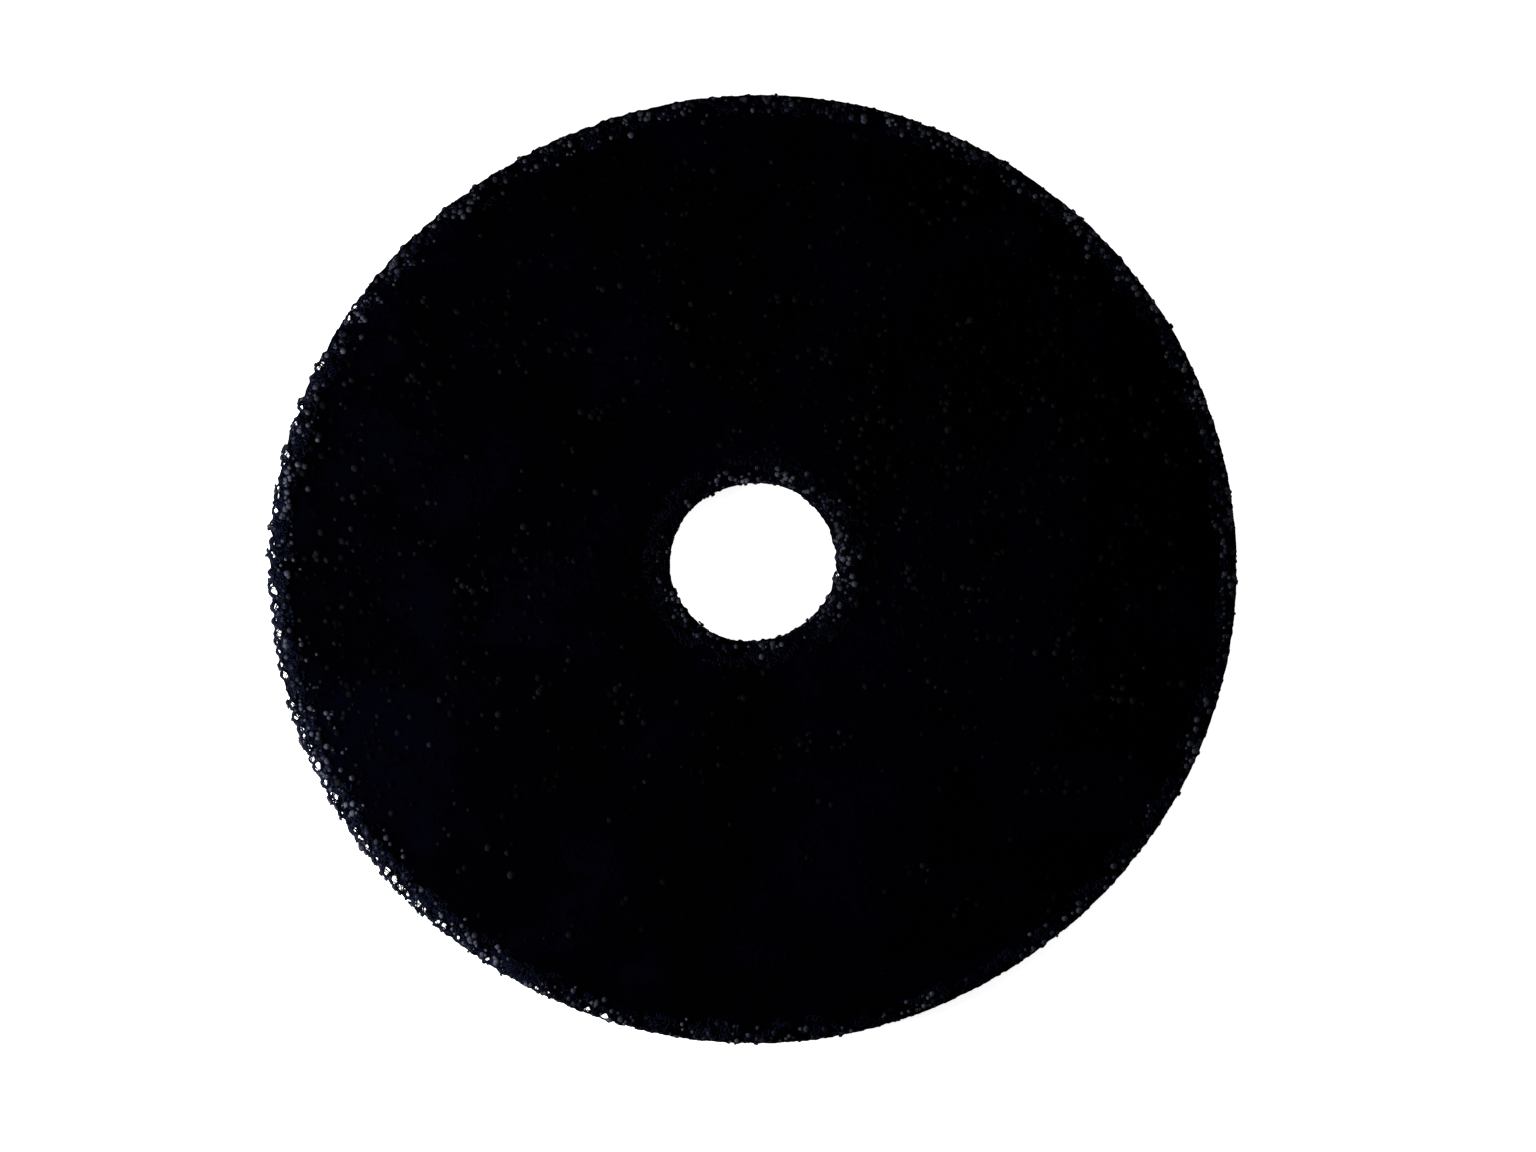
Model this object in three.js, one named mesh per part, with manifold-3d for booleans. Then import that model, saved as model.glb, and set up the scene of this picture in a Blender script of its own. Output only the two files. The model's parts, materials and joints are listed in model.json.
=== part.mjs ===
// A floor pad for a rotary floor machine: one disc of open nonwoven web, crimped fibre bonded with
// black abrasive resin, punched from a sheet with a hole for the machine's centre lock.
// Both faces are flat with shallow dips and roll over at a shoulder into the cut walls. The walls
// are the feature that takes skill: ragged and pitted, with gaps that run right through the web
// just inside the cut, so that only a thin thread of web is left outside each. The gaps crowd
// where the web is loose, at the rim's -X side and the hole's +X side.
// Millimetres, +Z up. The pad lies on its working face at z = 0, with the outline's centre on Z.

import * as THREE from "three";
import { mergeVertices } from "three/addons/utils/BufferGeometryUtils.js";
import Module from "manifold-3d";

// The cut, with lengths along X and widths along Y: the web is punched under tension, so the
// outline and the hole both come out a little longer one way, and the hole a little off centre.
const padLength = 516.5;
const padWidth = 502.3;
const holeLength = 89.3;
const holeWidth = 84.4;
const holeOffsetX = -0.8;
const holeOffsetY = 3.4;
const thickness = 25;

// The outline's slow waves: lobes round the pad, the share of waveHeight that the wave has, and
// the angle of a crest in degrees.
const waveHeight = 0.6;
const outlineWaves = [
  { lobes: 3, share: 1, crest: 48 },
  { lobes: 4, share: 0.65, crest: -17 },
  { lobes: 6, share: 0.4, crest: 22 },
];

// The section's edge: how far a face rolls over in and down before it meets the cut wall, and
// how far the wall's middle stands out past its ends.
const shoulderReach = 9;
const shoulderDrop = 4.5;
const wallBulge = 0.8;

// The relief of the web: the spacing of its points along the walls and the faces, the depth of
// the deepest pit and dip, and the share of a face's points that stay on its plane.
const wallPitch = 6.2;
const wallPit = 1.5;
const facePitch = 18;
const faceDip = 0.8;
const landShare = 0.85;
const pitchScatter = 0.3;

// The gaps through the web beside a cut wall. Each cut is loosest at a turn, in degrees. There
// every place that a gap may have gets one, and on the tight side only the tight share of them.
// A gap's length and width are the largest, and gapWeb is the least web left between it and the
// deepest pit of the wall.
const rimLooseTurn = 192;
const holeLooseTurn = 8;
const rimGapPitch = 11;
const holeGapPitch = 13;
const gapTightShare = 0.08;
const gapGathering = 3;
const gapLength = 4.2;
const gapWidth = 2.8;
const gapLeastSize = 0.6;
const gapWeb = 0.4;
const gapScatter = 1.6;
const gapTwist = 30;
const gapLean = 2;

const shoulderSteps = 3;
const wallSteps = 3;
const gapSides = 5;
const webSeed = 20;
const rimGapSeed = 100;
const holeGapSeed = 400;

const fullTurn = 2 * Math.PI;
const radians = THREE.MathUtils.degToRad;

const wasm = await Module();
wasm.setup();

// A repeatable stream of numbers between two bounds. Each ring of the web and each gap has a
// stream of its own, so a change of size in one place leaves the rest of the pattern alone.
function scatterStream(seed) {
  let state = seed * 7919;
  return (low, high) => {
    state = (state + 0x6d2b79f5) | 0;
    let mixed = Math.imul(state ^ (state >>> 15), 1 | state);
    mixed = (mixed + Math.imul(mixed ^ (mixed >>> 7), 61 | mixed)) ^ mixed;
    return THREE.MathUtils.lerp(low, high, ((mixed ^ (mixed >>> 14)) >>> 0) / 2 ** 32);
  };
}

// The two cuts as closed curves. A cut's radius is its mean one, which sets how many points and
// gaps go round it.
const rimCut = {
  halfLength: padLength / 2,
  halfWidth: padWidth / 2,
  radius: (padLength + padWidth) / 4,
  centre: new THREE.Vector2(0, 0),
  waves: outlineWaves,
  intoWeb: -1,
  looseTurn: radians(rimLooseTurn),
};
const holeCut = {
  halfLength: holeLength / 2,
  halfWidth: holeWidth / 2,
  radius: (holeLength + holeWidth) / 4,
  centre: new THREE.Vector2(holeOffsetX, holeOffsetY),
  waves: [],
  intoWeb: 1,
  looseTurn: radians(holeLooseTurn),
};

// The point of a cut at a turn, moved into the web by an inset.
function cutPoint(cut, turn, inset) {
  let reach = cut.intoWeb * inset;
  for (const wave of cut.waves) {
    reach += wave.share * waveHeight * Math.cos(wave.lobes * (turn - radians(wave.crest)));
  }
  return new THREE.Vector2(
    (cut.halfLength + reach) * Math.cos(turn),
    (cut.halfWidth + reach) * Math.sin(turn),
  ).add(cut.centre);
}

// A station is one place on the way round the section. It gives the radius and the pitch of its
// ring of points, draws the depth each point is sunk to, and puts the point in its place.
function wallStation(cut, inset, z, out) {
  return {
    radius: cut.radius,
    pitch: wallPitch,
    depth: (scatter) => wallPit * scatter(0, 1) ** 2,
    place: (turn, depth) => {
      const flat = cutPoint(cut, turn, inset + depth * out.x);
      return new THREE.Vector3(flat.x, flat.y, z - depth * out.y);
    },
  };
}

function faceStation(share, z, into) {
  const inset = shoulderReach + wallBulge;
  return {
    radius: THREE.MathUtils.lerp(holeCut.radius + inset, rimCut.radius - inset, share),
    pitch: facePitch,
    depth: (scatter) => (scatter(0, 1) < landShare ? 0 : faceDip * scatter(0, 1)),
    place: (turn, depth) => {
      const flat = cutPoint(holeCut, turn, inset).lerp(cutPoint(rimCut, turn, inset), share);
      return new THREE.Vector3(flat.x, flat.y, z + into * depth);
    },
  };
}

// A cut wall, from its foot to its top.
function wallStations(cut) {
  const stations = [];
  for (let step = 0; step <= wallSteps; step++) {
    const share = step / wallSteps;
    const inset = wallBulge * (1 - Math.sin(Math.PI * share));
    const z = THREE.MathUtils.lerp(shoulderDrop, thickness - shoulderDrop, share);
    stations.push(wallStation(cut, inset, z, new THREE.Vector2(1, 0)));
  }
  return stations;
}

// A shoulder, a quarter of an ellipse from the wall to the face that lies at faceZ. The sign of
// up is the way out of that face.
function shoulderStations(cut, faceZ, up) {
  const stations = [];
  for (let step = 0; step < shoulderSteps; step++) {
    const angle = (((step + 0.5) / shoulderSteps) * Math.PI) / 2;
    const inset = wallBulge + shoulderReach * (1 - Math.cos(angle));
    const z = faceZ - up * shoulderDrop * (1 - Math.sin(angle));
    const out = new THREE.Vector2(
      Math.cos(angle) * shoulderDrop,
      Math.sin(angle) * shoulderReach * up,
    );
    stations.push(wallStation(cut, inset, z, out.normalize()));
  }
  return stations;
}

// A face, from the hole's shoulder out to the rim's.
function faceStations(faceZ, into) {
  const width = rimCut.radius - holeCut.radius - 2 * (shoulderReach + wallBulge);
  const steps = Math.round(width / facePitch);
  const stations = [];
  for (let step = 0; step <= steps; step++) {
    stations.push(faceStation(step / steps, faceZ, into));
  }
  return stations;
}

// The whole section: up the hole's wall, out over the top face, down the rim's wall and back
// under the pad.
const section = [
  ...wallStations(holeCut),
  ...shoulderStations(holeCut, thickness, 1),
  ...faceStations(thickness, -1),
  ...shoulderStations(rimCut, thickness, 1).reverse(),
  ...wallStations(rimCut).reverse(),
  ...shoulderStations(rimCut, 0, -1),
  ...faceStations(0, 1).reverse(),
  ...shoulderStations(holeCut, 0, -1).reverse(),
];

function webRing(station, scatter) {
  const count = Math.round((fullTurn * station.radius) / station.pitch);
  const stagger = scatter(0, 1 - pitchScatter);
  const ring = { points: [], turns: [] };
  for (let i = 0; i < count; i++) {
    const turn = ((i + stagger + scatter(0, pitchScatter)) / count) * fullTurn;
    ring.turns.push(turn);
    ring.points.push(station.place(turn, station.depth(scatter)));
  }
  return ring;
}

// Joins two neighbouring rings with triangles, always stepping along the ring that lags behind.
function stitch(ringA, ringB) {
  const indices = [];
  const countA = ringA.points.length;
  const countB = ringB.points.length;
  const turnAt = (ring, count, i) => ring.turns[i % count] + (i >= count ? fullTurn : 0);
  let a = 0;
  let b = 0;
  while (a < countA || b < countB) {
    const fromA = ringA.start + (a % countA);
    const fromB = ringB.start + (b % countB);
    const nextA = a < countA ? turnAt(ringA, countA, a + 1) : Infinity;
    const nextB = b < countB ? turnAt(ringB, countB, b + 1) : Infinity;
    if (nextA <= nextB) {
      a += 1;
      indices.push(fromA, fromB, ringA.start + (a % countA));
    } else {
      b += 1;
      indices.push(fromA, fromB, ringB.start + (b % countB));
    }
  }
  return indices;
}

function webGeometry() {
  const rings = section.map((station, i) => webRing(station, scatterStream(webSeed + i)));
  const points = [];
  for (const ring of rings) {
    ring.start = points.length;
    points.push(...ring.points);
  }
  const geometry = new THREE.BufferGeometry().setFromPoints(points);
  geometry.setIndex(rings.flatMap((ring, i) => stitch(ring, rings[(i + 1) % rings.length])));
  return geometry;
}

// The share of the places for a gap that have one at a turn.
function gapShare(cut, turn) {
  const toward = Math.max(Math.cos(turn - cut.looseTurn), 0);
  return gapTightShare + toward ** gapGathering;
}

// The gaps beside one cut: narrow upright holes, each twisted and leaning its own way.
function gapGeometries(cut, pitch, seed) {
  const count = Math.round((fullTurn * cut.radius) / pitch);
  const twist = radians(gapTwist);
  const lean = radians(gapLean);
  const halfAcross = (gapLength * Math.sin(twist) + gapWidth * Math.cos(twist)) / 2;
  const leastInset = wallBulge + wallPit + gapWeb + halfAcross + (thickness / 2) * Math.tan(lean);
  const gaps = [];
  for (let i = 0; i < count; i++) {
    const scatter = scatterStream(seed + i);
    const turn = ((i + scatter(0, pitchScatter)) / count) * fullTurn;
    if (scatter(0, 1) > gapShare(cut, turn)) {
      continue;
    }
    const size = scatter(gapLeastSize, 1);
    const at = cutPoint(cut, turn, leastInset + scatter(0, gapScatter));
    const gap = new THREE.CylinderGeometry(0.5, 0.5, 2 * thickness, gapSides);
    gap.scale(gapLength * size, 1, gapWidth * size);
    gap.rotateX(Math.PI / 2);
    gap.rotateX(scatter(-lean, lean));
    gap.rotateZ(turn + Math.PI / 2 + scatter(-twist, twist));
    gap.translate(at.x, at.y, thickness / 2);
    gaps.push(gap);
  }
  return gaps;
}

// A closed geometry as a solid, and a solid back as a geometry with one flat normal a facet.
function toSolid(geometry) {
  const bare = geometry.clone();
  bare.deleteAttribute("normal");
  bare.deleteAttribute("uv");
  const merged = mergeVertices(bare);
  return new wasm.Manifold(
    new wasm.Mesh({
      numProp: 3,
      vertProperties: merged.attributes.position.array,
      triVerts: new Uint32Array(merged.index.array),
    }),
  );
}

function toGeometry(solid) {
  const mesh = solid.getMesh();
  const shared = new THREE.BufferGeometry();
  shared.setAttribute("position", new THREE.BufferAttribute(mesh.vertProperties, mesh.numProp));
  shared.setIndex(new THREE.BufferAttribute(mesh.triVerts, 1));
  const faceted = shared.toNonIndexed();
  faceted.computeVertexNormals();
  return faceted;
}

function padGeometry() {
  let web = toSolid(webGeometry());
  for (const gap of gapGeometries(rimCut, rimGapPitch, rimGapSeed)) {
    web = web.subtract(toSolid(gap));
  }
  for (const gap of gapGeometries(holeCut, holeGapPitch, holeGapSeed)) {
    web = web.subtract(toSolid(gap));
  }
  return toGeometry(web);
}

const blackWeb = new THREE.MeshStandardMaterial({ color: 0x0b0b10, roughness: 0.8, metalness: 0 });

const pad = new THREE.Mesh(padGeometry(), blackWeb);
pad.name = "pad";

const floorPad = new THREE.Group();
floorPad.add(pad);

export default floorPad;
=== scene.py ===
# A floor polishing pad: open black fibre web over a rough core, whose darker, duller black is
# painted shade of the web's deep inside.
# Metres, +Z up, in the frame of the imported part, lying on its working face at z = 0.
import json
import math

import bmesh
import bpy
import numpy as np
from mathutils import Matrix, Vector


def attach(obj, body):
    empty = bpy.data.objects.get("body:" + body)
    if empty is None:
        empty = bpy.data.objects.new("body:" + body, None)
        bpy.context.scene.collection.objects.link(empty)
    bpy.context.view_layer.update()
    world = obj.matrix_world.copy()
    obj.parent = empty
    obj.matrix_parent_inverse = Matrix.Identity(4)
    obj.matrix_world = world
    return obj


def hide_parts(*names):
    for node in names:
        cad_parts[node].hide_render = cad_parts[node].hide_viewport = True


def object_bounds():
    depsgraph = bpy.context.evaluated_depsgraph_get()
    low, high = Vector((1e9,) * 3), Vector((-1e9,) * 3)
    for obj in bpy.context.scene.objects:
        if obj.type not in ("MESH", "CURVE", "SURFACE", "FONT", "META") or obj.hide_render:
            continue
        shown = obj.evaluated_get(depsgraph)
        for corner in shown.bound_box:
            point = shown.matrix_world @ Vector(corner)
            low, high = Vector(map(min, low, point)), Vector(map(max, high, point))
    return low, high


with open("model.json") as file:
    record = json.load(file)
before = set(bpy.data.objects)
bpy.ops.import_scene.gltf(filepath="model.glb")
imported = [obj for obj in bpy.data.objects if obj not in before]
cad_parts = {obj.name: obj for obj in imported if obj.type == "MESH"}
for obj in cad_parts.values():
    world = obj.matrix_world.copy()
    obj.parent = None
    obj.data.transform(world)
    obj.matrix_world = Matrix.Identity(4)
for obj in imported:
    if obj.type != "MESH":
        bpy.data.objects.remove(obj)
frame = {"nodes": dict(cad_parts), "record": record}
cad_low, cad_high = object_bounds()

MM = 0.001
FULL_TURN = 2 * math.pi
THICKNESS = cad_high.z - cad_low.z

# The section's edge, as in the part's source.
SHOULDER_REACH = 9 * MM
SHOULDER_DROP = 4.5 * MM
WALL_BULGE = 0.8 * MM
EDGE_INSET = SHOULDER_REACH + WALL_BULGE

# The cut walls' slow shape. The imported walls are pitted, and the web's skin lies this far outside
# their mean.
CUT_WAVES = 6
SKIN_LIFT = 1.3 * MM

# The web is loose at the rim's lower left, as the photograph shows it, and half as loose at the
# hole's right. The rim's cut is cleanest at its near side.
RIM_LOOSE_TURN = math.radians(190)
HOLE_LOOSE_TURN = math.radians(8)
HOLE_LOOSEST = 0.5
RIM_CLEAN_TURN = math.radians(258)

# Upright gaps in the cut walls, as discs in plan: bites that are open to the outside, and holes
# with a thread of web left outside them. Points that lie within GAP_PUSH of a gap's radius are
# moved off it, and stay in their order.
BITE_PITCH = 5 * MM
BITE_RADII = (1.1 * MM, 2.4 * MM)
HOLE_PITCH = 6.4 * MM
HOLE_RADII = (1.1 * MM, 2.2 * MM)
HOLE_THREAD = 1.2 * MM
GAP_CLEARANCE = 0.4 * MM
GAP_PUSH = 1.35

# Fibres are walked in steps. A crimp is a slow swing of the heading, with a random drift.
FIBRE_STEPS = 24
CRIMP_DRIFT = 0.16
DIVE_LENGTHS = (9 * MM, 30 * MM)
END_DIVE = 1.2 * MM

# The core below the fibres: how deep it lies, how much deeper where a wall is loose, and how
# rough it is.
CORE_COLUMNS = 480
CORE_FACE_DEPTH = 1.2 * MM
CORE_WALL_DEPTH = 0.6 * MM
CORE_LOOSE_DEPTH = 1.2 * MM
CORE_LUMP = 0.6 * MM

# Nodules of resin crowd in patches of this size, and their centres stand no further than this
# beyond a cut. The lowest lie on the floor, a little below the working face.
GRIT_PATCH = 16 * MM
GRIT_STAND = 0.3 * MM
FLOOR_DROP = 1.6 * MM

# The view. The pad's centre and length are in the photograph's pixels.
PHOTO_WIDTH = 1536
PHOTO_HEIGHT = 1152
PAD_CENTRE_PX = (755.3, 568.3)
PAD_LENGTH_PX = 971.9
PAD_ROLL = math.radians(9)
VIEW_TILT = math.radians(6)
VIEW_TURN = math.radians(186)
VIEW_DISTANCE = 5.5
SENSOR_WIDTH_MM = 36


def waves(turn):
    """The terms of a slow closed curve at each turn."""
    order = np.arange(1, CUT_WAVES + 1)
    angle = turn[..., None] * order
    return np.concatenate([np.ones_like(turn)[..., None], np.cos(angle), np.sin(angle)], axis=-1)


class Cut:
    """A cut wall. outward is 1 at the rim, and -1 at the hole, whose web lies outside it."""

    def __init__(self, points, centre, outward):
        self.centre = np.array(centre)
        self.outward = outward
        offset = points[:, :2] - self.centre
        turn = np.arctan2(offset[:, 1], offset[:, 0])
        radius = np.hypot(offset[:, 0], offset[:, 1])
        self.terms = np.linalg.lstsq(waves(turn), radius, rcond=None)[0]
        self.terms[0] += outward * SKIN_LIFT

    def point(self, turn, reach):
        """The point at a turn, reach beyond the cut along its radius."""
        radius = self.radius(turn) + reach
        across = np.stack([np.cos(turn), np.sin(turn)], axis=-1)
        return self.centre + radius[..., None] * across

    def radius(self, turn):
        return waves(turn) @ self.terms

    def beyond(self, points):
        """How far points lie beyond the cut, in plan."""
        offset = points[:, :2] - self.centre
        turn = np.arctan2(offset[:, 1], offset[:, 0])
        return self.outward * (np.hypot(offset[:, 0], offset[:, 1]) - self.radius(turn))


def read_cuts():
    """The rim and the hole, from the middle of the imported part's two walls."""
    node = frame["nodes"]["pad"]
    points = np.array([node.matrix_world @ vertex.co for vertex in node.data.vertices])
    walls = points[abs(points[:, 2] - THICKNESS / 2) < THICKNESS / 4]
    opening = np.array(frame["record"]["physics"]["openings"][0]["box_m"])
    hole_centre = opening[:, :2].mean(axis=0)
    from_hole = np.hypot(*(walls[:, :2] - hole_centre).T)
    between = (from_hole.min() + from_hole.max()) / 2
    rim = Cut(walls[from_hole > between], (0, 0), 1)
    hole = Cut(walls[from_hole < between], hole_centre, -1)
    return rim, hole


rim, hole = read_cuts()


class Skin:
    """The pad's surface by the turn round it and the arc length along its section. The section
    starts where the top face meets the rim's shoulder, and runs down the rim, back under the
    pad, up the hole and out over the top face."""

    def __init__(self):
        angle = np.linspace(math.pi / 2, 0, 20)
        share = np.linspace(0, 1, 12)[1:-1]
        shoulder = -WALL_BULGE - SHOULDER_REACH * (1 - np.cos(angle))
        shoulder_z = THICKNESS - SHOULDER_DROP * (1 - np.sin(angle))
        wall = -WALL_BULGE * (1 - np.sin(math.pi * share))
        wall_z = THICKNESS - SHOULDER_DROP - share * (THICKNESS - 2 * SHOULDER_DROP)
        edge = np.concatenate([shoulder, wall, shoulder[::-1]])
        edge_z = np.concatenate([shoulder_z, wall_z, THICKNESS - shoulder_z[::-1]])
        ones = np.ones_like(edge)
        across = np.linspace(1, 0, 40)[1:-1]
        face = np.full_like(across, -EDGE_INSET)
        self.reach = np.concatenate([edge, face, edge, face])
        self.z = np.concatenate(
            [edge_z, 0 * across, edge_z[::-1], THICKNESS + 0 * across]
        )
        self.share = np.concatenate([ones, across, 0 * ones, across[::-1]])
        rim_radius = rim.terms[0] + self.reach
        hole_radius = hole.terms[0] - self.reach
        self.radius = self.share * rim_radius + (1 - self.share) * hole_radius
        points = np.stack([self.radius, self.z], axis=-1)
        closed = np.vstack([points, points[:1]])
        lengths = np.hypot(*np.diff(closed, axis=0).T)
        self.along = np.concatenate([[0], lengths.cumsum()[:-1]])
        self.length = lengths.sum()
        tangent = np.roll(points, -1, axis=0) - np.roll(points, 1, axis=0)
        tangent /= np.hypot(*tangent.T)[:, None]
        self.inward = np.stack([tangent[:, 1], -tangent[:, 0]], axis=-1)
        starts = np.cumsum([0, len(edge), len(across), len(edge)])
        self.rim_top, self.bottom, self.hole_foot, self.top = self.along[starts]

    def at(self, values, along):
        return np.interp(along, self.along, values, period=self.length)

    def normal(self, turn, along):
        """The way into the web."""
        inward = self.at(self.inward[:, 0], along)
        return np.stack(
            [inward * np.cos(turn), inward * np.sin(turn), self.at(self.inward[:, 1], along)],
            axis=-1,
        )

    def point(self, turn, along, depth):
        reach = self.at(self.reach, along)
        share = self.at(self.share, along)[..., None]
        sink = depth * self.at(self.inward[:, 0], along)
        flat = share * rim.point(turn, reach + sink) + (1 - share) * hole.point(turn, sink - reach)
        z = self.at(self.z, along) + depth * self.at(self.inward[:, 1], along)
        return np.concatenate([flat, z[..., None]], axis=-1)


skin = Skin()


def rim_looseness(turn):
    """From 0 where the rim is tight to 1 where it is loosest."""
    return np.cos(turn - RIM_LOOSE_TURN).clip(0, 1) ** 3


def hole_looseness(turn):
    """The same at the hole, on the rim's scale."""
    return HOLE_LOOSEST * np.cos(turn - HOLE_LOOSE_TURN).clip(0, 1) ** 2


def rim_raggedness(turn):
    """The size of the rim's bites, as a share of their plain size."""
    clean = np.cos(turn - RIM_CLEAN_TURN).clip(0, 1) ** 2
    return 1 - 0.6 * clean + 0.5 * rim_looseness(turn)


def hole_raggedness(turn):
    """The same at the hole, whose cut is clean where the web is tight."""
    return 0.1 + 2.4 * hole_looseness(turn)


def looseness(turn, along):
    """The looseness of the web at a place on the skin. It is none on the faces."""
    share = skin.at(skin.share, along)
    walled = abs(skin.at(skin.inward[:, 0], along))
    return walled * (share * rim_looseness(turn) + (1 - share) * hole_looseness(turn))


# The pale nodules crowd most at the rim's lower left and the hole's right, the walls that the key
# lamp lights, so their painted highlight gathers there; they crowd least where the rim is cut
# clean.
def crowding(turn, along):
    """How much more, or less where below 0, the nodules crowd at a place than elsewhere."""
    share = skin.at(skin.share, along)
    return share * 2 * (rim_raggedness(turn) - 1) + (1 - share) * 4.5 * hole_looseness(turn)


class Gaps:
    """The upright gaps in one cut wall. Fibres are parted round them, and the core lies behind
    them. hole_share times the looseness is the share of places that have a hole."""

    def __init__(self, cut, loose, ragged, hole_share, seed):
        rng = np.random.default_rng(seed)
        self.cut = cut
        self.around = cut.terms[0]
        turn, scatter = self.places(rng, BITE_PITCH)
        bites = np.interp(scatter, (0, 1), BITE_RADII) * ragged(turn)
        insets = bites * rng.uniform(-0.8, -0.3, len(turn))
        hole_turn, scatter = self.places(rng, HOLE_PITCH)
        kept = rng.uniform(0, 1, len(hole_turn)) < hole_share * loose(hole_turn)
        holes = np.interp(scatter * loose(hole_turn), (0, 1), HOLE_RADII)[kept]
        hole_insets = holes + HOLE_THREAD * rng.uniform(0.8, 1.6, len(holes))
        self.turns = np.concatenate([turn, hole_turn[kept]])
        self.radii = np.concatenate([bites, holes])
        self.insets = np.concatenate([insets, hole_insets])
        self.centres = cut.point(self.turns, -cut.outward * self.insets)

    def places(self, rng, pitch):
        count = round(FULL_TURN * self.around / pitch)
        turn = (np.arange(count) + rng.uniform(0, 0.8, count)) / count * FULL_TURN
        return turn, rng.uniform(0, 1, count)

    def part(self, points, thickness):
        """Moves points in plan so that none lies in a gap."""
        for centre, radius in zip(self.centres, self.radii):
            offset = points[..., :2] - centre
            distance = np.hypot(offset[..., 0], offset[..., 1])
            least = radius + thickness
            near = distance < GAP_PUSH * least
            moved = (least + distance * (1 - 1 / GAP_PUSH))[near] / distance[near]
            points[near, :2] = centre + offset[near] * moved[:, None]

    def hold_back(self, points):
        """Moves points of the core along their radius, to behind the gaps."""
        offset = points[..., :2] - self.cut.centre
        turn = np.arctan2(offset[..., 1], offset[..., 0])
        distance = np.hypot(offset[..., 0], offset[..., 1])
        recess = np.full_like(turn, -1)
        for gap_turn, inset, radius in zip(self.turns, self.insets, self.radii):
            aside = (turn - gap_turn + math.pi) % FULL_TURN - math.pi
            behind = (radius + GAP_CLEARANCE) ** 2 - (aside * self.around) ** 2
            deep = np.where(behind > 0, inset + np.sqrt(behind.clip(0)), -1)
            recess = np.maximum(recess, deep)
        depth = self.cut.outward * (self.cut.radius(turn) - distance)
        shift = self.cut.outward * (depth - np.maximum(depth, recess))
        points[..., :2] += offset * (shift / distance)[..., None]


rim_gaps = Gaps(rim, rim_looseness, rim_raggedness, hole_share=1.3, seed=31)
hole_gaps = Gaps(hole, hole_looseness, hole_raggedness, hole_share=0.5, seed=32)


def lumps(points, size, seed):
    """Smooth noise from -1 to 1, with lumps about size across."""
    cells = 32
    lattice = np.random.default_rng(seed).uniform(-1, 1, (cells,) * 3)
    place = points / size
    corner = np.floor(place).astype(int)
    part = place - corner
    part = part * part * (3 - 2 * part)
    total = 0
    for step in np.ndindex(2, 2, 2):
        weight = np.where(np.array(step), part, 1 - part).prod(axis=-1)
        index = (corner + step) % cells
        total = total + weight * lattice[index[..., 0], index[..., 1], index[..., 2]]
    return total


def add_piece(name, vertices, faces, material):
    """A piece of the pad as an object that goes with its one body."""
    mesh = bpy.data.meshes.new(name)
    mesh.from_pydata(vertices.reshape(-1, 3).tolist(), [], faces)
    mesh.polygons.foreach_set("use_smooth", np.ones(len(mesh.polygons), dtype=bool))
    mesh.materials.append(material)
    mesh.update()
    piece = bpy.data.objects.new(name, mesh)
    bpy.context.scene.collection.objects.link(piece)
    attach(piece, "root")
    return piece


def tubes(paths, normals, radii):
    """Three-sided closed tubes along paths, as vertices and faces."""
    count, steps = radii.shape
    tangent = np.gradient(paths, axis=1)
    side = np.cross(tangent, normals)
    side /= np.linalg.norm(side, axis=-1, keepdims=True)
    up = np.cross(side, tangent)
    up /= np.linalg.norm(up, axis=-1, keepdims=True)
    corners = np.arange(3) * FULL_TURN / 3
    ring = (
        side[:, :, None] * np.cos(corners)[:, None] + up[:, :, None] * np.sin(corners)[:, None]
    )
    vertices = paths[:, :, None] + radii[:, :, None, None] * ring
    first = np.arange(count * steps * 3).reshape(count, steps, 3)
    here, there = first[:, :-1], first[:, 1:]
    quads = np.stack(
        [here, there, np.roll(there, -1, axis=-1), np.roll(here, -1, axis=-1)], axis=-1
    )
    start, end = first[:, 0], first[:, -1, ::-1]
    faces = quads.reshape(-1, 4).tolist() + start.tolist() + end.tolist()
    return vertices, faces


FACE_FIBRE = {
    "arc": FULL_TURN,
    "step": 1.6 * MM,
    "crimp_turn": 1.1,
    "crimp_lengths": (7 * MM, 14 * MM),
    "spread": math.pi / 2,
    "depth": 1.0 * MM,
    "loose_depth": 0,
    "thickness": (0.35 * MM, 0.55 * MM),
    "roam": 8 * MM,
}
WALL_FIBRE = {
    "arc": FULL_TURN,
    "step": 1.15 * MM,
    "crimp_turn": 1.6,
    "crimp_lengths": (6 * MM, 11 * MM),
    "spread": 0.8,
    "depth": 1.0 * MM,
    "loose_depth": 2.2 * MM,
    "thickness": (0.6 * MM, 0.95 * MM),
    "roam": 5 * MM,
}
LOOSE_FIBRE = {**WALL_FIBRE, "arc": FULL_TURN / 4, "loose_depth": 0.8 * MM}
BORE_FIBRE = {**WALL_FIBRE, "roam": 2 * MM}


def fold(values, low, high):
    """Values reflected at two bounds until they lie between them."""
    span = high - low
    return low + span - abs((values - low) % (2 * span) - span)


def scatter(rng, count, zone):
    """Places along the section that are as dense on every ring of the zone."""
    bins = np.linspace(*zone, 200)
    radius = skin.at(skin.radius, bins)
    along = rng.choice(bins, count, p=radius / radius.sum())
    return along + rng.uniform(0, bins[1] - bins[0], count)


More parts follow.
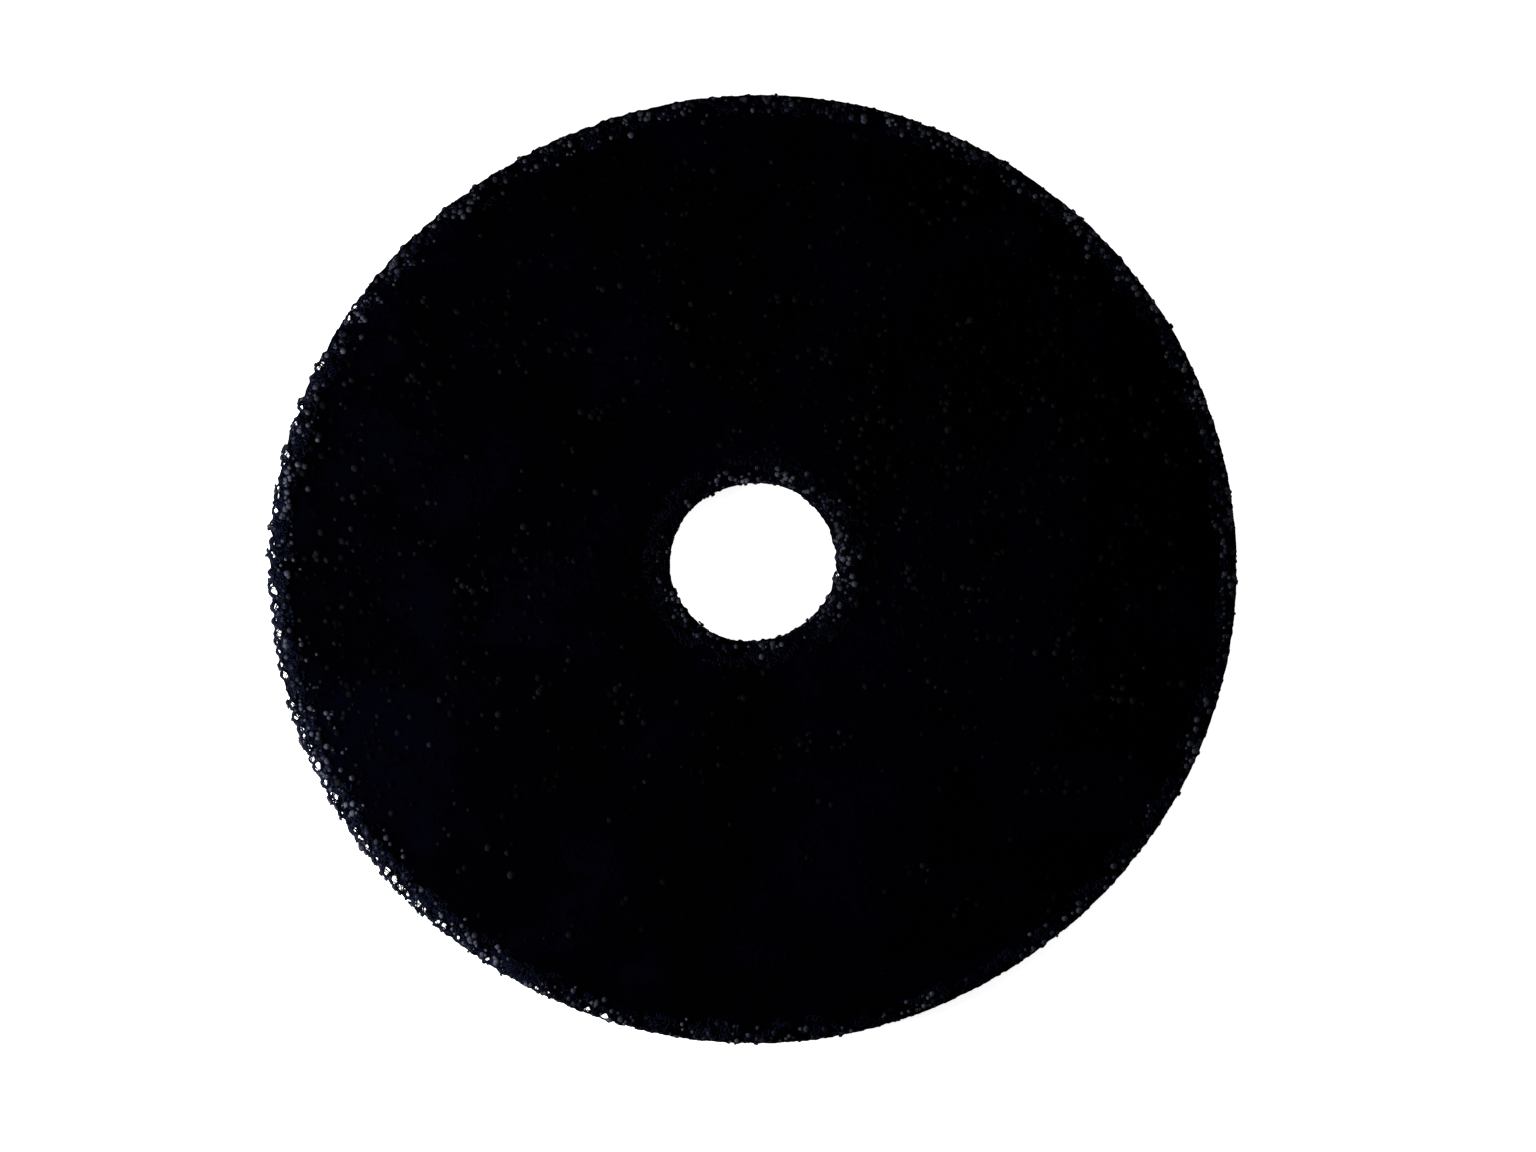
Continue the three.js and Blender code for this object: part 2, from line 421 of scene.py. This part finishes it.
class Fibres:
    """A set of crimped fibres in one zone of the skin, (from, to) along its section, and on an
    arc about the loosest turn. Each fibre turns back at the zone's ends, or a little beyond.
    Their headings lie within spread of the way round the pad, and they weave about a depth of
    their own."""

    def __init__(self, seed, count, zone, kind):
        rng = np.random.default_rng(seed)
        start = scatter(rng, count, zone)[:, None]
        turn = RIM_LOOSE_TURN + rng.uniform(-1, 1, (count, 1)) * kind["arc"] / 2
        radius = skin.at(skin.radius, start)
        step = kind["step"]
        walked = np.arange(FIBRE_STEPS) * step
        heading = rng.uniform(-kind["spread"], kind["spread"], (count, 1))
        heading = heading + math.pi * rng.integers(0, 2, (count, 1))
        heading = heading + rng.normal(0, CRIMP_DRIFT, (count, FIBRE_STEPS)).cumsum(axis=1)
        crimp = self.swing(rng, count, walked, kind["crimp_lengths"])
        heading = heading + kind["crimp_turn"] * crimp
        roam = kind["roam"] * rng.uniform(0, 1, (2, count, 1))
        along = start + step * np.sin(heading).cumsum(axis=1)
        self.along = fold(along, zone[0] - roam[0], zone[1] + roam[1])
        self.turn = turn + step * np.cos(heading).cumsum(axis=1) / radius
        deepest = kind["depth"] + kind["loose_depth"] * looseness(self.turn, self.along)
        level = rng.uniform(0, 0.75, (count, 1))
        weave = 0.25 * self.swing(rng, count, walked, DIVE_LENGTHS)
        ends = abs(np.linspace(-1, 1, FIBRE_STEPS)) ** 6
        depth = deepest * abs(level + weave) + END_DIVE * ends
        coarse = rng.uniform(*kind["thickness"], (count, 1)) / 2
        uneven = 1 + 0.2 * rng.normal(0, 1, (count, FIBRE_STEPS)).clip(-1.5, 1.5)
        self.radii = coarse * uneven * (1 - 0.4 * ends)
        self.paths = skin.point(self.turn, self.along, depth + self.radii)
        rim_gaps.part(self.paths, coarse)
        hole_gaps.part(self.paths, coarse)

    def swing(self, rng, count, walked, lengths):
        length = rng.uniform(*lengths, (count, 1))
        return np.sin(FULL_TURN * (walked / length + rng.uniform(0, 1, (count, 1))))

    def mesh(self):
        return tubes(self.paths, skin.normal(self.turn, self.along), self.radii)


def web_material(name, dark, pale, patches, roughness, gloss, bump):
    """Resin-bonded fibre: patches of a darker and a paler black, dust in the finest grain,
    uneven roughness, and bump from strands and grit. patches gives the scale of the patches and
    the noise values where they start and end."""
    material = bpy.data.materials.new(name)
    material.use_nodes = True
    nodes = material.node_tree.nodes
    links = material.node_tree.links
    shader = nodes["Principled BSDF"]
    place = nodes.new("ShaderNodeTexCoord").outputs["Object"]

    def noise(scale, detail, distortion=0.0):
        node = nodes.new("ShaderNodeTexNoise")
        node.inputs["Scale"].default_value = scale
        node.inputs["Detail"].default_value = detail
        node.inputs["Distortion"].default_value = distortion
        links.new(place, node.inputs["Vector"])
        return node.outputs["Fac"]

    def spread(value, low, high, to_low=0.0, to_high=1.0):
        node = nodes.new("ShaderNodeMapRange")
        node.inputs["From Min"].default_value = low
        node.inputs["From Max"].default_value = high
        node.inputs["To Min"].default_value = to_low
        node.inputs["To Max"].default_value = to_high
        links.new(value, node.inputs["Value"])
        return node.outputs["Result"]

    def multiply(first, second):
        node = nodes.new("ShaderNodeMath")
        node.operation = "MULTIPLY"
        links.new(first, node.inputs[0])
        links.new(second, node.inputs[1])
        return node.outputs["Value"]

    patch_scale, patch_start, patch_end = patches
    patch = spread(noise(patch_scale, 3), patch_start, patch_end)
    grain = spread(noise(900, 4, 1.5), 0.3, 0.7, 0.3, 1.0)
    mix = nodes.new("ShaderNodeMix")
    mix.data_type = "RGBA"
    mix.inputs["A"].default_value = (*dark, 1)
    mix.inputs["B"].default_value = (*pale, 1)
    links.new(multiply(patch, grain), mix.inputs["Factor"])
    links.new(mix.outputs["Result"], shader.inputs["Base Color"])
    links.new(spread(noise(600, 2), 0.3, 0.7, *roughness), shader.inputs["Roughness"])
    shader.inputs["Specular IOR Level"].default_value = gloss

    grit = nodes.new("ShaderNodeTexVoronoi")
    grit.inputs["Scale"].default_value = 1400
    links.new(place, grit.inputs["Vector"])
    height = multiply(noise(1100, 3, 2.0), spread(grit.outputs["Distance"], 0, 0.7, 1, 0.4))
    relief = nodes.new("ShaderNodeBump")
    relief.inputs["Strength"].default_value = bump
    relief.inputs["Distance"].default_value = 0.25 * MM
    links.new(height, relief.inputs["Height"])
    links.new(relief.outputs["Normal"], shader.inputs["Normal"])
    return material


# The core's black is darker and duller than the fibres': painted shade of the deep web that lies in
# shadow below the fibres.
core_shade_black = web_material(
    "core_shade_black",
    dark=(0.0002, 0.0002, 0.0006),
    pale=(0.0004, 0.0004, 0.0026),
    patches=(21, 0.46, 0.63),
    roughness=(0.8, 0.95),
    gloss=0.002,
    bump=0.9,
)
face_black = web_material(
    "face_black",
    dark=(0.0002, 0.0002, 0.0006),
    pale=(0.0006, 0.0005, 0.0026),
    patches=(21, 0.46, 0.63),
    roughness=(0.6, 0.9),
    gloss=0.006,
    bump=0.7,
)
# The rim's cut walls are painted paler than the faces' black: painted light, for the light that the
# lamps and the white floor throw on the walls.
cut_lit_black = web_material(
    "cut_lit_black",
    dark=(0.0009, 0.0018, 0.0068),
    pale=(0.0018, 0.0032, 0.0112),
    patches=(60, 0.35, 0.65),
    roughness=(0.5, 0.8),
    gloss=0.03,
    bump=0.7,
)
# The hole's walls are painted paler than the faces too, less so than the rim: painted light on the
# bore.
bore_lit_black = web_material(
    "bore_lit_black",
    dark=(0.0006, 0.001, 0.004),
    pale=(0.0012, 0.002, 0.0066),
    patches=(60, 0.35, 0.65),
    roughness=(0.5, 0.8),
    gloss=0.03,
    bump=0.7,
)
# The pale nodules on the faces are grey grit, and their paleness is partly a painted glint, for the
# faint sparkle of the grains.
face_grit_glint_black = web_material(
    "face_grit_glint_black",
    dark=(0.0003, 0.0003, 0.001),
    pale=(0.009, 0.009, 0.0115),
    patches=(60, 0.46, 0.75),
    roughness=(0.7, 0.9),
    gloss=0.01,
    bump=0.3,
)
# The nodules at the cuts are painted much paler than those on the faces: a painted highlight, for
# the soft glints of the lit grit on the walls.
cut_grit_highlight_black = web_material(
    "cut_grit_highlight_black",
    dark=(0.0008, 0.0012, 0.006),
    pale=(0.058, 0.062, 0.084),
    patches=(70, 0.38, 0.68),
    roughness=(0.5, 0.8),
    gloss=0.05,
    bump=0.3,
)


FACE_GRIT = {
    "depths": (0.4 * MM, 1.2 * MM),
    "radii": (1.3 * MM, 2.7 * MM),
    "flatness": 0.65,
    "loners": 0.7,
    "material": face_grit_glint_black,
}
CUT_GRIT = {
    "depths": (-0.3 * MM, 1.4 * MM),
    "radii": (1.0 * MM, 2.2 * MM),
    "flatness": 0.4,
    "loners": 1.6,
    "material": cut_grit_highlight_black,
}


def build_core():
    """The dense inside of the web, as one closed skin that lies below the fibres."""
    along = np.concatenate(
        [
            np.linspace(skin.rim_top, skin.bottom, 20, endpoint=False),
            np.linspace(skin.bottom, skin.hole_foot, 32, endpoint=False),
            np.linspace(skin.hole_foot, skin.top, 20, endpoint=False),
            np.linspace(skin.top, skin.length, 32, endpoint=False),
        ]
    )
    turn = np.arange(CORE_COLUMNS) * FULL_TURN / CORE_COLUMNS
    along, turn = np.meshgrid(along, turn, indexing="ij")
    flat = skin.point(turn, along, 0 * turn)
    walled = abs(skin.at(skin.inward[:, 0], along))
    relief = 0.6 * lumps(flat, 6 * MM, 1) + 0.4 * lumps(flat, 2.8 * MM, 2)
    depth = CORE_FACE_DEPTH + (CORE_WALL_DEPTH - CORE_FACE_DEPTH) * walled
    depth = depth + CORE_LOOSE_DEPTH * looseness(turn, along) + CORE_LUMP * relief
    vertices = skin.point(turn, along, depth)
    rim_gaps.hold_back(vertices)
    hole_gaps.hold_back(vertices)
    first = np.arange(turn.size).reshape(turn.shape)
    down, round_ = np.roll(first, -1, axis=0), np.roll(first, -1, axis=1)
    both = np.roll(down, -1, axis=1)
    faces = np.stack([first, down, both, round_], axis=-1).reshape(-1, 4).tolist()
    core = add_piece("web_core", vertices, faces, core_shade_black)
    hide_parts("pad")


def build_grit(name, seed, count, zone, depths, radii, flatness, loners, material, spill=0):
    """Nodules of abrasive resin, as small uneven balls, flattened along the skin's normal. They
    crowd in patches, less so with more loners, and thin out over the spill beyond both ends of
    their zone."""
    rng = np.random.default_rng(seed)
    ball = bmesh.new()
    bmesh.ops.create_icosphere(ball, subdivisions=1, radius=1)
    spikes = np.array([vertex.co for vertex in ball.verts])
    triangles = np.array([[vertex.index for vertex in face.verts] for face in ball.faces])
    ball.free()
    tries = 3 * count
    turn = rng.uniform(0, FULL_TURN, tries)
    along = scatter(rng, tries, zone)
    side = np.where(rng.uniform(0, 1, tries) < 0.5, -1, 1)
    thrown = spill * (0.4 + crowding(turn, along).clip(0))
    along += side * thrown * rng.uniform(0, 1, tries) ** 2
    places = skin.point(turn, along, rng.uniform(*depths, tries))
    crowded = lumps(places, GRIT_PATCH, seed) + rng.uniform(-loners, loners, tries)
    crowded += 0.7 * crowding(turn, along)
    radii = radii[0] + (radii[1] - radii[0]) * rng.uniform(0, 1, tries) ** 2
    rim_gaps.part(places, radii)
    hole_gaps.part(places, radii)
    crowded[np.maximum(rim.beyond(places), hole.beyond(places)) > GRIT_STAND] = -np.inf
    kept = np.argsort(-crowded)[:count]
    places, normals, radii = places[kept], skin.normal(turn, along)[kept], radii[kept]
    shape = spikes * rng.uniform(0.85, 1, (count, len(spikes), 1))
    lift = np.einsum("nkx,nx->nk", shape, normals)
    shape -= flatness * lift[..., None] * normals[:, None]
    vertices = places[:, None] + radii[:, None, None] * shape
    faces = np.arange(count)[:, None, None] * len(spikes) + triangles
    add_piece(name, vertices, faces.reshape(-1, 3).tolist(), material)


def build_web():
    quarter = (skin.bottom - skin.rim_top) / 4
    face_zone = (skin.top - quarter, skin.length + quarter)
    under_zone = (skin.bottom - quarter, skin.hole_foot + quarter)
    rim_zone = (skin.rim_top, skin.bottom)
    bore_zone = (skin.hole_foot, skin.top)
    sets = {
        "top_web": (11, 1300, face_zone, FACE_FIBRE, face_black),
        "under_web": (13, 850, under_zone, FACE_FIBRE, face_black),
        "rim_web_a": (14, 1000, rim_zone, WALL_FIBRE, cut_lit_black),
        "rim_web_b": (15, 1000, rim_zone, WALL_FIBRE, cut_lit_black),
        "loose_web": (17, 700, rim_zone, LOOSE_FIBRE, cut_lit_black),
        "bore_web": (16, 420, bore_zone, BORE_FIBRE, bore_lit_black),
    }
    for name, (seed, count, zone, kind, material) in sets.items():
        add_piece(name, *Fibres(seed, count, zone, kind).mesh(), material)
    bore_grit_zone = (skin.hole_foot + quarter / 2, skin.top - quarter / 2)
    build_grit("top_grit", 21, 1400, face_zone, **FACE_GRIT)
    build_grit("under_grit", 22, 1200, under_zone, **FACE_GRIT)
    build_grit("rim_grit", 23, 4200, rim_zone, **CUT_GRIT, spill=12 * MM)
    build_grit("bore_grit", 24, 560, bore_grit_zone, **CUT_GRIT, spill=3 * MM)


def build_floor():
    """A white floor that glows for the camera and still takes the pad's shadow."""
    bpy.ops.mesh.primitive_plane_add(size=12, location=(0, 0, -FLOOR_DROP))
    floor = bpy.context.object
    floor.name = "floor"
    material = bpy.data.materials.new("white_floor")
    material.use_nodes = True
    nodes = material.node_tree.nodes
    links = material.node_tree.links
    nodes.clear()
    matt = nodes.new("ShaderNodeBsdfDiffuse")
    matt.inputs["Color"].default_value = (0.85, 0.85, 0.85, 1)
    glow = nodes.new("ShaderNodeEmission")
    glow.inputs["Color"].default_value = (1, 1, 1, 1)
    rays = nodes.new("ShaderNodeLightPath")
    strength = nodes.new("ShaderNodeMath")
    strength.operation = "MULTIPLY"
    strength.inputs[1].default_value = 0.9
    links.new(rays.outputs["Is Camera Ray"], strength.inputs[0])
    links.new(strength.outputs["Value"], glow.inputs["Strength"])
    both = nodes.new("ShaderNodeAddShader")
    links.new(matt.outputs["BSDF"], both.inputs[0])
    links.new(glow.outputs["Emission"], both.inputs[1])
    output = nodes.new("ShaderNodeOutputMaterial")
    links.new(both.outputs["Shader"], output.inputs["Surface"])
    floor.data.materials.append(material)


def add_lamp(name, turn, elevation, distance, size, power):
    """A square soft lamp that points at the pad, with its place in degrees and metres."""
    turn, elevation = math.radians(turn), math.radians(elevation)
    lamp = bpy.data.lights.new(name, "AREA")
    lamp.shape = "SQUARE"
    lamp.size = size
    lamp.energy = power
    holder = bpy.data.objects.new(name, lamp)
    back = Vector(
        (
            math.cos(turn) * math.cos(elevation),
            math.sin(turn) * math.cos(elevation),
            math.sin(elevation),
        )
    )
    holder.location = back * distance
    holder.rotation_mode = "QUATERNION"
    holder.rotation_quaternion = back.to_track_quat("Z", "Y")
    bpy.context.scene.collection.objects.link(holder)


def build_lights():
    add_lamp("key", turn=190, elevation=20, distance=0.8, size=0.35, power=14)
    add_lamp("overhead", turn=70, elevation=66, distance=3.0, size=2.4, power=32)
    world = bpy.data.worlds.new("studio")
    bpy.context.scene.world = world
    world.use_nodes = True
    backdrop = world.node_tree.nodes["Background"]
    backdrop.inputs["Color"].default_value = (1, 1, 1, 1)
    backdrop.inputs["Strength"].default_value = 0.03


def build_camera():
    metres_per_px = (cad_high.x - cad_low.x) / PAD_LENGTH_PX
    back = Vector(
        (
            math.sin(VIEW_TILT) * math.cos(VIEW_TURN),
            math.sin(VIEW_TILT) * math.sin(VIEW_TURN),
            math.cos(VIEW_TILT),
        )
    )
    right = Vector((math.cos(PAD_ROLL), -math.sin(PAD_ROLL), 0))
    right = (right - back * right.dot(back)).normalized()
    up = back.cross(right)
    target = Vector((0, 0, THICKNESS / 2))
    target += right * (PHOTO_WIDTH / 2 - PAD_CENTRE_PX[0]) * metres_per_px
    target -= up * (PHOTO_HEIGHT / 2 - PAD_CENTRE_PX[1]) * metres_per_px
    lens = bpy.data.cameras.new("camera")
    lens.sensor_width = SENSOR_WIDTH_MM
    lens.lens = SENSOR_WIDTH_MM * VIEW_DISTANCE / (PHOTO_WIDTH * metres_per_px)
    lens.clip_end = 100
    camera = bpy.data.objects.new("camera", lens)
    pose = Matrix((right, up, back)).transposed().to_4x4()
    pose.translation = target + back * VIEW_DISTANCE
    camera.matrix_world = pose
    bpy.context.scene.collection.objects.link(camera)
    bpy.context.scene.camera = camera


bpy.context.scene.view_settings.view_transform = "Standard"
build_core()
build_web()
build_floor()
build_lights()
build_camera()
